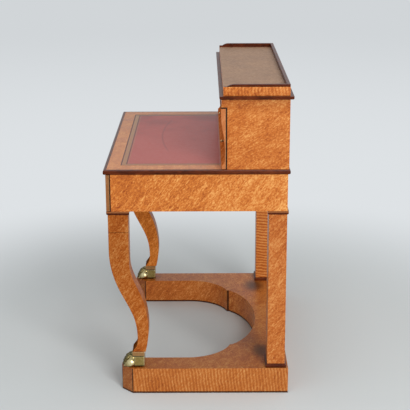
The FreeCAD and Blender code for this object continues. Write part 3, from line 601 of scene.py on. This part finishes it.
# Rear legs: square posts of beech, tenoned through their blocks into the frieze and the plinth.
# They are veneered with bird's-eye maple outside and with fiddleback, its stripes level, on the inner faces.
post_maple = maple("rear_leg_maple", (0.71, 0.62, 0.58), depth=0.9)
post_striped = maple(
    "rear_leg_striped_maple", (0.82, 0.76, 0.74), stripes=0.2, across=(0.1, 0.1, 0.9), depth=0.3)
for hand, inward in (("right", -1), ("left", 1)):
    post = dress(eased(f"{hand}_rear_leg", leg_arris), f"{hand}_rear_leg", "maple", post_maple, post_striped)
    face_by(post, lambda face: face.normal.x * inward > facing or face.normal.y < -facing, 1)

# Capitals and bases: small blocks of dark amaranth that the leg tenons pass through.
# The capitals are worked to a quarter round below and faced with a strip of maple above.
block_arris = 0.0007
capital_strip = 0.0050
strip_colour = screen(140, 84, 46)
amaranth_dark = screen(42, 15, 3)
amaranth_body = screen(80, 30, 7)
amaranth_light = screen(116, 52, 18)
amaranth_dullness = 0.36
amaranth_relief = 0.00005


def amaranth(name, along=(0.033, 0.002, 0.002), strip=None, polish=0.12):
    """Dark polished amaranth with straight grain; a strip above one height may be maple."""
    material, where = new_finish(name)
    grain = where.grained(along, detail=3.0, roughness=0.6)
    cloud = where.noise(14.0, 3.0)
    figure = 0.5 + (grain - 0.5) * 1.1 + (cloud - 0.5) * 0.8
    colour = figure.ramp((0.15, amaranth_dark), (0.5, amaranth_body), (0.95, amaranth_light))
    if strip:
        colour = (where.axes()[2] > strip).mix(colour, strip_colour)
    sheen = amaranth_dullness + (cloud - 0.5) * 0.15
    values = {"Base Color": colour, "Roughness": sheen, "Specular IOR Level": polish}
    return close_finish(material, where, grain, amaranth_relief, values)


capital_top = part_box("right_front_capital")[1].z
capital_wood = amaranth("capital_amaranth", strip=capital_top - capital_strip)
base_wood = amaranth("base_amaranth")
for hand in ("right", "left"):
    for end in ("front", "rear"):
        dress(eased(f"{hand}_{end}_capital", block_arris), f"{hand}_{end}_capital", "amaranth", capital_wood)
    dress(eased(f"{hand}_rear_base", block_arris), f"{hand}_rear_base", "amaranth", base_wood)

# Frieze: two sides and a back of pine under bird's-eye maple, with plain oak rails and runners inside.
# The front edge of each side carries painted shadow of the gap where the drawer front shuts against it.
board_arris = 0.0008
frieze_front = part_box("right_frieze_side")[0].y
# The front edge is darkened by painted shadow of the gap at the drawer front.
shut_shadow_width = 0.0036
oak_dark = screen(128, 90, 50)
oak_body = screen(166, 126, 78)
oak_light = screen(192, 156, 106)
oak_dullness = 0.58
oak_relief = 0.0001


def shut_gap_shadow(x, y, z):
    """Painted shadow of the gap along the front edge."""
    return y < frieze_front + shut_shadow_width


def oak(name, along=(0.11, 0.0038, 0.0038)):
    """Plain waxed oak with long grain and open pores."""
    material, where = new_finish(name)
    grain = where.grained(along, detail=4.0, roughness=0.65, distortion=0.6)
    flecks = where.grained((along[0] / 4, along[1] / 3, along[2] / 3))
    cloud = where.noise(7.0)
    figure = 0.5 + (grain - 0.5) * 1.2 + (cloud - 0.5) * 0.5 - flecks.rise(0.62, 0.75) * 0.25
    colour = figure.ramp((0.15, oak_dark), (0.5, oak_body), (0.9, oak_light))
    values = {"Base Color": colour, "Roughness": oak_dullness + (cloud - 0.5) * 0.1}
    return close_finish(material, where, grain - flecks * 0.5, oak_relief, values)


def plain(node, finish):
    """Gives a finish to a joiner's piece that stays as it is made."""
    frame["nodes"][node].data.materials.clear()
    frame["nodes"][node].data.materials.append(finish)


# The frieze sides are painted lighter towards the back of the desk: painted light.
frieze_maple = maple("frieze_maple", (0.87, 0.83, 0.76), lines=shut_gap_shadow, painted_light_drift=0.5)
back_maple = maple("back_maple")
for hand in ("right", "left"):
    dress(eased(f"{hand}_frieze_side", board_arris), f"{hand}_frieze_side", "maple", frieze_maple)
dress(eased("frieze_back", board_arris), "frieze_back", "maple", back_maple)
oak_across = oak("oak_grain_across")
oak_deep = oak("oak_grain_deep", (0.0038, 0.11, 0.0038))
for node in ("frieze_top_rail", "frieze_front_rail", "frieze_rear_rail"):
    plain(node, oak_across)
plain("drawer_runners", oak_deep)

# Frieze drawer: an oak box, dovetailed at the front, behind a full-width maple front that laps the carcass.
# It has no handle: a key, put in through the brass escutcheon, turns the iron lock and draws the drawer out.
front_arris = 0.0009
plate_arris = 0.0004
lock_arris = 0.0006
lap_play = 0.0012
iron_dullness = 0.45
iron_relief = 0.0001
iron_dark = screen(40, 38, 36)
iron_body = screen(78, 75, 72)
front_maple = maple("drawer_front_maple")
front_end = maple("drawer_front_end_maple", (0.42, 0.50, 0.80), depth=0.3)
frieze_front_piece = eased("frieze_drawer_front", front_arris)
dress(frieze_front_piece, "frieze_drawer_front", "maple", front_maple, front_end, oak_across)
face_by(frieze_front_piece, lambda face: abs(face.normal.x) > facing, 1)
face_by(frieze_front_piece, lambda face: face.center.y > frieze_front - lap_play, 2)
for node in ("frieze_drawer_sides", "frieze_drawer_bottom"):
    plain(node, oak_deep)
plain("frieze_drawer_back", oak_across)
plate_brass = brass("escutcheon_brass")
dress(eased("keyhole_escutcheon", plate_arris), "keyhole_escutcheon", "brass", plate_brass)
lock_iron, iron_where = new_finish("lock_iron")
rust = iron_where.noise(60.0, 4.0, 0.6)
iron_colour = rust.ramp((0.3, iron_dark), (0.7, iron_body))
iron_sheen = iron_dullness + (rust - 0.5) * 0.3
iron_values = {"Base Color": iron_colour, "Metallic": 0.85, "Roughness": iron_sheen}
close_finish(lock_iron, iron_where, rust, iron_relief, iron_values)
dress(eased("frieze_drawer_lock", lock_arris), "frieze_drawer_lock", "lock_iron", lock_iron)

# Desk top: a maple-bordered board inside a rounded amaranth edge of four mitred lengths.
# The middle is sunk for a writing skiver of red leather with a gilt tooled border.
edge_width = 0.010
edge_round = 0.005
edge_steps = 6
edge_smooth = math.radians(30)
edge_grain = (0.017, 0.017, 0.002)
mitre_gap = 0.00006
top_arris = 0.0004
top_fade = (-0.42, 0.44)
left_end_darkening = 0.14
upward = 0.6


def mitred_edging(name, node, width, rounds, steps, picked):
    """Four lengths of edging, each planed from a bar, worked along its picked edges and mitred."""
    low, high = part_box(node)
    middle = (low + high) / 2
    rightward = Vector((1, 0, 0))
    backward = Vector((0, 1, 0))
    lengths = []
    for out in (rightward, -rightward, backward, -backward):
        bar_high = (high.x if out.x >= 0 else low.x + width, high.y if out.y >= 0 else low.y + width, high.z)
        bar_low = (low.x if out.x <= 0 else high.x - width, low.y if out.y <= 0 else high.y - width, low.z)
        bar = settle(block(bar_low, bar_high))
        reach = max(Vector(bar_high) @ out, Vector(bar_low) @ out)
        for mesh_part in (*bar.data.vertices, *bar.data.polygons):
            mesh_part.select = False
        for edge in bar.data.edges:
            ends = [bar.data.vertices[index] for index in edge.vertices]
            outer = all(abs(end.co @ out - reach) < weld for end in ends)
            level = abs(ends[0].co.z - ends[1].co.z) < weld
            edge.select = outer and level and picked(ends[0].co.z > middle.z)
            for end in ends:
                end.select |= edge.select
        pick(bar)
        bpy.ops.object.mode_set(mode="EDIT")
        bpy.ops.mesh.select_mode(type="EDGE")
        bpy.ops.mesh.bevel(offset=rounds, segments=steps, affect="EDGES")
        along = Vector((-out.y, out.x, 0))
        for way in (along, -along):
            towards = out + way
            corner = Vector((high.x if towards.x > 0 else low.x, high.y if towards.y > 0 else low.y, 0))
            normal = (way - out).normalized()
            cut = corner - normal * mitre_gap
            bpy.ops.mesh.select_all(action="SELECT")
            bpy.ops.mesh.bisect(plane_co=cut, plane_no=normal, use_fill=True, clear_outer=True)
        bpy.ops.object.mode_set(mode="OBJECT")
        lengths.append(bar)
    edging = joined(name, lengths)
    pick(edging)
    bpy.ops.object.shade_smooth_by_angle(angle=edge_smooth)
    return edging


def top_lines(x, y, z):
    """A border that is a little darker towards the left end."""
    return (1 - x.rise(*top_fade)) * left_end_darkening


edge_wood = amaranth("desk_edge_amaranth", edge_grain)
edge_top = amaranth("desk_edge_top_amaranth", edge_grain, polish=0.42)
desk_edge = mitred_edging(
    "finished_desk_edge", "desk_edge_moulding", edge_width, edge_round, edge_steps, lambda upper: True)
dress(desk_edge, "desk_edge_moulding", "amaranth", edge_wood, edge_top)
face_by(desk_edge, lambda face: face.normal.z > upward, 1)
top_maple = maple("desk_top_maple", (0.88, 0.93, 1.02), lines=top_lines, depth=0.7, polish=0.6)
dress(eased("desk_top_board", top_arris), "desk_top_board", "maple", top_maple)

# Writing leather: a skiver of sheep's leather glued into the sunk bed, its edge pressed down by hot tools.
# A dark fillet, a gilt band of small waves and a fine gilt line run along its front and ends to the gradin.
# Use has left one long faint crease, and the gilt of the left end has gone dark.
leather_low, leather_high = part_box("writing_leather")
leather_middle = (leather_low + leather_high) / 2
leather_half = (leather_high.x - leather_low.x) / 2
skiver_edge = 0.0008
fillet_width = 0.0032
fillet_slope = 0.0012
tool_depth = 0.0003
band_width = 0.0150
band_middle = (fillet_width + band_width) / 2
inner_fillet = band_width + 0.0028
inner_fillet_half = 0.0016
gilt_edge = band_width + 0.0008
gilt_line = 0.0225
gilt_line_half = 0.0007
wave_radians_per_metre = 520.0
wave_height = 0.0028
wave_half = 0.0011
dot_place = 0.0045
crease_place = (-0.05, -0.125)
crease_bow = 0.443
crease_reach = 0.28
crease_ends = (crease_reach * 0.7, crease_reach)
crease_fade = (0.0012, 0.0046)
crease_stain = 0.32
near_end_light_span = (-0.4, 0.4)
left_end_stain = 0.6
fillet_stain = 0.85
leather_dullness = 0.40
leather_relief = 0.0001
leather_grains = 900.0
leather_red = screen(168, 72, 62)
leather_worn = screen(180, 90, 80)
leather_dark = screen(96, 34, 28)
gilt_bright = screen(190, 146, 78)
gilt_worn = screen(152, 108, 52)
fillet_dark = screen(56, 30, 18)


def tooled_leather(name):
    """Worn red leather with a grain, a crease, dark fillets and gilt tooling along its rim."""
    material, where = new_finish(name)
    x, y, _ = where.axes()
    to_end = leather_half - abs(x - leather_middle.x)
    to_front = y - leather_low.y
    rim = to_end & to_front
    beside = to_end < to_front
    along = beside * y + (1 - beside) * x
    wear = where.noise(9.0, 3.0)
    rubs = where.noise(70.0, 4.0, 0.6)
    grain = where.add("ShaderNodeTexVoronoi", {"feature": "F1"}, {"Vector": where, "Scale": leather_grains})
    from_crease = x - crease_place[0]
    crease = abs(y - crease_place[1] - from_crease * from_crease * crease_bow)
    crease = (1 - crease.rise(*crease_fade)) * (1 - abs(from_crease).rise(*crease_ends))
    # The leather is painted lighter towards its right end: painted light.
    figure = 0.5 + (wear - 0.5) * 0.5 + (rubs - 0.5) * 0.25 + (x.rise(*near_end_light_span) - 0.5) * 0.25
    colour = figure.ramp((0.1, leather_dark), (0.45, leather_red), (1.0, leather_worn))
    colour = (crease * crease_stain).mix(colour, leather_dark)
    ripple = where.maths("SINE", along * wave_radians_per_metre)
    scroll = abs(rim - band_middle - ripple * wave_height) < wave_half
    dots = abs(ripple).rise(0.86, 0.95) * (abs(abs(rim - band_middle) - dot_place) < wave_half)
    band = (rim > fillet_width) & (rim < band_width)
    fine = (abs(rim - gilt_line) < gilt_line_half) | (abs(rim - gilt_edge) < gilt_line_half)
    gilt = ((band * 0.8) | (scroll & band) | (dots & band) | fine) * (0.55 + rubs.rise(0.25, 0.6) * 0.45)
    gold = ((scroll | dots) * rubs).mix(gilt_worn, gilt_bright)
    colour = gilt.mix(colour, gold)
    left_end = (x < leather_low.x + band_width) * left_end_stain
    fillet = (rim < fillet_width) | (abs(rim - inner_fillet) < inner_fillet_half) | left_end
    colour = (fillet * fillet_stain).mix(colour, fillet_dark)
    gloss = leather_dullness + (rubs - 0.5) * 0.16 - gilt * 0.1
    height = grain * 0.5 - gilt * 0.6 - fillet * 0.8 - crease * 0.8 + rubs * 0.3
    values = {"Base Color": colour, "Roughness": gloss, "Metallic": gilt * 0.12}
    return close_finish(material, where, height, leather_relief, values)


skiver = settle(block(leather_low, leather_high))
skiver.name = "tooled_skiver"
bpy.ops.object.mode_set(mode="EDIT")
bpy.ops.mesh.select_mode(type="FACE")
bpy.ops.mesh.select_all(action="DESELECT")
bpy.ops.object.mode_set(mode="OBJECT")
for face in skiver.data.polygons:
    face.select = face.normal.z > facing
bpy.ops.object.mode_set(mode="EDIT")
bpy.ops.mesh.inset(thickness=skiver_edge)
bpy.ops.mesh.inset(thickness=fillet_width)
bpy.ops.transform.translate(value=(0, 0, -tool_depth))
bpy.ops.mesh.inset(thickness=fillet_slope)
bpy.ops.transform.translate(value=(0, 0, tool_depth))
bpy.ops.object.mode_set(mode="OBJECT")
dress(skiver, "writing_leather", "leather", tooled_leather("tooled_leather"))

# Gradin: the upper case, of pine veneered with bird's-eye maple, standing on the back of the desk top.
# An oak divider, base and roof are inside, and the front edge of each side carries painted shadow of the gap
# at the drawers.
gradin_low, gradin_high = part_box("right_gradin_side")
rail_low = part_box("gradin_front_rail")[0]
gradin_step = 0.014
# Painted shadow of the gaps darkens the front edges of the sides, and painted shade lies under the cornice.
gradin_shut_shadow_width = 0.0042
rail_gap_shade = 0.003
cornice_shade = (gradin_high.z - 0.055, gradin_high.z + 0.004)
cornice_shade_strength = 0.2


def gradin_painted_shade(x, y, z):
    """Painted shadow of the gaps where the drawer fronts shut, and painted shade under the cornice."""
    below_rail = z < rail_low.z + rail_gap_shade
    shut = (y < gradin_low.y + gradin_step + gradin_shut_shadow_width) & below_rail
    return shut | (z.rise(*cornice_shade) * cornice_shade_strength)


# The gradin sides are toned darker than the frieze sides: painted shade.
gradin_maple = maple("gradin_maple", (0.79, 0.71, 0.63), lines=gradin_painted_shade, depth=0.9, lean=0.6)
# The foot of the front rail is darkened by painted shade of the gap above the drawers.
gradin_rail = maple("gradin_rail_maple", (0.85, 0.8, 0.8), lines=lambda x, y, z: z < rail_low.z + rail_gap_shade)
for hand in ("right", "left"):
    dress(eased(f"{hand}_gradin_side", board_arris), f"{hand}_gradin_side", "maple", gradin_maple)
dress(eased("gradin_back", board_arris), "gradin_back", "maple", back_maple)
dress(eased("gradin_front_rail", board_arris), "gradin_front_rail", "maple", gradin_rail)
plain("gradin_divider", oak_deep)
plain("gradin_base", oak_across)
plain("gradin_roof", oak_across)

# Gradin drawers: two oak boxes behind fronts worked hollow to an ogee and veneered with maple.
# A dark band finishes the top of each front, part bead and part painted shade of the gap under the rail, and
# a small turned brass knob draws it out.
bead_and_shade_height = 0.0034
ogee_arris = 0.0006
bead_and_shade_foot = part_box("right_drawer_front")[1].z - bead_and_shade_height
lip_play = 0.0011
lip_back = gradin_low.y + gradin_step - lip_play
# Each front's dark top band is a bead and painted shade of the gap under the rail, and its pinkish tone
# partly paints a reflection of the red leather.
ogee_maple = maple("ogee_front_maple", (0.98, 0.84, 1.0), lines=lambda x, y, z: z > bead_and_shade_foot, polish=0.0)
ogee_end = maple("ogee_end_maple", (0.78, 0.84, 1.5), depth=0.3)
knob_brass = brass("knob_brass")
knob_play = 0.0002
knob_sides = 32
knob_levels = 2
knob_smooth = math.radians(50)
knob_profile = (
    (0.0, 0.0046), (0.0011, 0.0046), (0.0014, 0.0036), (0.0016, 0.0026),
    (0.0034, 0.0023), (0.0042, 0.0027), (0.0054, 0.0038), (0.0070, 0.0046),
    (0.0086, 0.0046), (0.0100, 0.0038), (0.0108, 0.0023), (0.0110, 0.0008),
)


def turned_knob(name, node):
    """A knob turned to its profile, of steps out and radii: a round face is drawn out step by step."""
    low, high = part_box(node)
    reach = knob_profile[-1][0] + knob_play
    bpy.ops.object.select_all(action="DESELECT")
    bpy.ops.mesh.primitive_circle_add(
        vertices=knob_sides, radius=knob_profile[0][1], fill_type="NGON", rotation=(math.pi / 2, 0, 0))
    turned = settle(bpy.context.object)
    turned.name = name
    bpy.ops.object.mode_set(mode="EDIT")
    bpy.ops.mesh.select_mode(type="FACE")
    bpy.ops.mesh.select_all(action="SELECT")
    for (low_step, low_radius), (step, radius) in zip(knob_profile, knob_profile[1:]):
        bpy.ops.mesh.extrude_region_move(TRANSFORM_OT_translate={"value": (0, low_step - step, 0)})
        share = radius / low_radius
        bpy.ops.transform.resize(value=(share, 1, share))
    bpy.ops.mesh.select_all(action="SELECT")
    bpy.ops.mesh.normals_make_consistent(inside=False)
    bpy.ops.object.mode_set(mode="OBJECT")
    turned.location = ((low.x + high.x) / 2, low.y + reach, (low.z + high.z) / 2)
    settle(turned)
    applied(turned, "SUBSURF", levels=knob_levels, render_levels=knob_levels)
    bpy.ops.object.shade_smooth_by_angle(angle=knob_smooth)
    return turned


for hand in ("left", "right"):
    front = eased(f"{hand}_drawer_front", ogee_arris)
    dress(front, f"{hand}_drawer_front", "maple", ogee_maple, ogee_end, oak_across)
    face_by(front, lambda face: abs(face.normal.x) > facing, 1)
    face_by(front, lambda face: face.center.y > lip_back, 2)
    knob = turned_knob(f"turned_knob_{hand}", f"{hand}_drawer_knob")
    dress(knob, f"{hand}_drawer_knob", "brass", knob_brass)
    for part, wood in (("sides", oak_deep), ("bottom", oak_across), ("back", oak_across)):
        plain(f"{hand}_drawer_{part}", wood)

# Cornice and gallery: a dark mitred moulding, a cap banded with striped maple, and dark lips round its tray.
# The sunk floor of the tray has faded to a dull brown, and dust has flattened its polish.
cornice_frame = 0.030
cornice_chamfer = 0.005
cornice_steps = 3
lip_arris = 0.0012
lip_width = 0.0095
tray_depth = 0.0055
tray_play = 0.001
tray_dullness = 0.52
tray_polish = 0.35
tray_relief = 0.00005
tray_turn = (0.0, 0.0, 0.5)
tray_grain_size = (0.011, 0.0055, 0.0055)
tray_dark = screen(124, 92, 68)
tray_body = screen(155, 120, 93)
tray_light = screen(179, 145, 116)
cap_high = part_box("cornice_cap")[1]
cornice_wood = amaranth("cornice_amaranth", edge_grain)
cornice = mitred_edging("finished_cornice", "cornice_moulding", cornice_frame, cornice_chamfer, cornice_steps,
                        lambda upper: not upper)
dress(cornice, "cornice_moulding", "amaranth", cornice_wood, edge_top)
face_by(cornice, lambda face: face.normal.z > upward, 1)
cap_maple = maple("cap_maple", (0.88, 0.84, 0.82), stripes=0.11, depth=0.8)
tray_wood, tray_where = new_finish("tray_wood")
tray_grain = tray_where.grained(tray_grain_size, tray_turn, 3.0, 0.6, 0.4)
tray_cloud = tray_where.noise(12.0, 3.0)
tray_figure = 0.5 + (tray_grain - 0.5) * 0.9 + (tray_cloud - 0.5) * 0.4
tray_colour = tray_figure.ramp((0.2, tray_dark), (0.5, tray_body), (0.85, tray_light))
tray_sheen = tray_dullness + (tray_cloud - 0.5) * 0.15
tray_values = {"Base Color": tray_colour, "Roughness": tray_sheen, "Specular IOR Level": tray_polish}
close_finish(tray_wood, tray_where, tray_grain, tray_relief, tray_values)
lip_wood = amaranth("gallery_amaranth", edge_grain)
cap = dress(eased("cornice_cap", board_arris), "cornice_cap", "maple", cap_maple, tray_wood, lip_wood)
face_by(cap, lambda face: face.normal.z > square_on and face.center.z < cap_high.z - tray_play, 1)


def in_tray(face):
    """The low walls of the tray, inside the lips."""
    across = abs(face.center.x) < cap_high.x - lip_width
    return across and face.center.y < cap_high.y - lip_width and face.center.z > cap_high.z - tray_depth


face_by(cap, in_tray, 2)
for node in ("right_gallery_end", "left_gallery_end", "gallery_back"):
    lip = dress(eased(node, lip_arris), node, "amaranth", lip_wood, edge_top)
    face_by(lip, lambda face: face.normal.z > upward, 1)

# Studio: a pale paper floor that fades to a pale backdrop.
# A key lamp and a broader fill lamp stand at the right end of the desk, and a soft one hangs overhead.
floor_colour = screen(207, 212, 212)
backdrop_near = screen(222, 226, 229)
backdrop_far = screen(209, 213, 216)
floor_reach = 16.0
floor_sides = 96
floor_fade = (0.75, 1.9)
backdrop_fade = (2.0, 9.0)
sky_colour = (0.97, 0.98, 1.0, 1.0)
sky_strength = 0.5
bpy.ops.object.select_all(action="DESELECT")
bpy.ops.mesh.primitive_circle_add(vertices=floor_sides, radius=floor_reach, fill_type="NGON")
floor = bpy.context.object
floor.name = "studio_floor"
floor_paper, floor_where = new_finish("floor_paper")
fx, fy, _ = floor_where.axes()
distance = floor_where.maths("SQRT", fx * fx + fy * fy)
rays = floor_where.add("ShaderNodeLightPath", {}, {}, "Is Camera Ray")
seen = rays | rays.other("Is Glossy Ray") | rays.other("Is Transmission Ray")
paper = floor_where.add("ShaderNodeBsdfDiffuse", {}, {"Color": floor_colour})
far_colour = distance.rise(*backdrop_fade).mix(backdrop_near, backdrop_far)
far_paper = floor_where.add("ShaderNodeEmission", {}, {"Color": far_colour, "Strength": 1.0})
fade = distance.rise(*floor_fade) * seen
floor_mix = floor_where.add("ShaderNodeMixShader", {}, {0: fade, 1: paper, 2: far_paper})
floor_where.add("ShaderNodeOutputMaterial", {}, {"Surface": floor_mix})
floor.data.materials.append(floor_paper)

world = bpy.data.worlds.new("studio")
bpy.context.scene.world = world
world.use_nodes = True
world.node_tree.nodes.clear()
sky = Socket(world.node_tree, world.node_tree.nodes.new("ShaderNodeLightPath").outputs["Is Camera Ray"])
sky_seen = sky | sky.other("Is Glossy Ray") | sky.other("Is Transmission Ray")
soft_light = sky.add("ShaderNodeBackground", {}, {"Color": sky_colour, "Strength": sky_strength})
pale_sky = sky.add("ShaderNodeBackground", {}, {"Color": backdrop_far, "Strength": 1.0})
sky_mix = sky.add("ShaderNodeMixShader", {}, {0: sky_seen, 1: soft_light, 2: pale_sky})
sky.add("ShaderNodeOutputWorld", {}, {"Surface": sky_mix})


def soft_lamp(name, place, target, width, power):
    """A broad square lamp turned towards a point."""
    lamp = bpy.data.lights.new(name, "AREA")
    lamp.size = width
    lamp.energy = power
    holder = bpy.data.objects.new(name, lamp)
    bpy.context.scene.collection.objects.link(holder)
    holder.location = place
    holder.rotation_euler = (Vector(target) - Vector(place)).to_track_quat("-Z", "Y").to_euler()
    holder.visible_camera = False


soft_lamp("key_lamp", place=(5.0, 2.0, 3.6), target=(0.0, 0.0, 0.4), width=2.0, power=165.0)
soft_lamp("fill_lamp", place=(7.5, 3.2, 1.8), target=(0.0, 0.0, 0.4), width=3.0, power=150.0)
soft_lamp("overhead_lamp", place=(1.0, 0.0, 5.0), target=(0.0, 0.0, 0.3), width=2.5, power=48.0)

# Camera: square to the desk's right end, well above the gallery and looking down on it.
# Its place, pitch and roll come from a fit to the straight edges of the desk.
camera_place = Vector((3.69795, 0.02155, 1.58729))
camera_pitch = 0.2854
camera_roll = -0.0033
focal_pixels = 1100.0
image_pixels = 410.0
sensor = 36.0
camera = bpy.data.cameras.new("camera")
camera.sensor_width = sensor
camera.lens = sensor * focal_pixels / image_pixels
viewer = bpy.data.objects.new("camera", camera)
bpy.context.scene.collection.objects.link(viewer)
level_view = Matrix.Rotation(math.pi / 2, 4, "Z") @ Matrix.Rotation(math.pi / 2 - camera_pitch, 4, "X")
viewer.matrix_world = Matrix.Translation(camera_place) @ level_view @ Matrix.Rotation(camera_roll, 4, "Z")
bpy.context.scene.camera = viewer
bpy.context.scene.view_settings.view_transform = "Standard"
